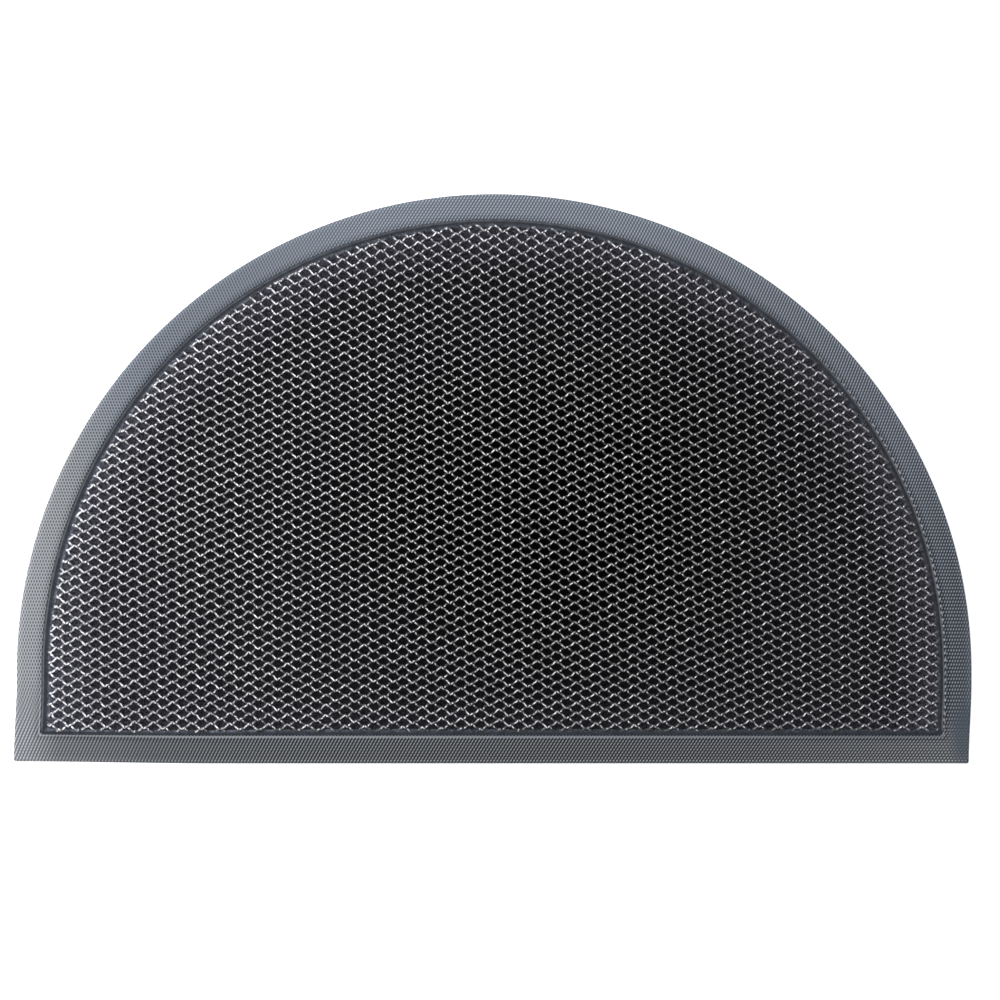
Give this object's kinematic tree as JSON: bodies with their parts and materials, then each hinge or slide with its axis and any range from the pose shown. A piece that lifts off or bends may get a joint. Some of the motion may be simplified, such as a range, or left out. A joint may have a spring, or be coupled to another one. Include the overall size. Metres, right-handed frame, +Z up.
{
  "type": "half round doormat",
  "caption": "Half round doormat: an open lattice of vinyl strands over a solid vinyl backing, framed by a flat embossed vinyl border strip, for scraping shoes at a door.",
  "frame": {"origin": "middle of the mat's box at floor level", "axes": "+X along the straight edge, +Y from the straight edge to the round side, +Z up"},
  "size_m": [0.7522, 0.447, 0.0063],
  "materials": {
    "strands": "dark extruded vinyl strands, woven slantwise into an open lattice, soft gloss on the tops",
    "backing": "near-black solid vinyl sheet, matte",
    "border": "grey-blue vinyl strip embossed with rows of fine slanted dots, satin"
  },
  "bodies": {
    "root": {"backing": "backing", "mesh_panel": "strands", "border": "border"}
  },
  "joints": []
}
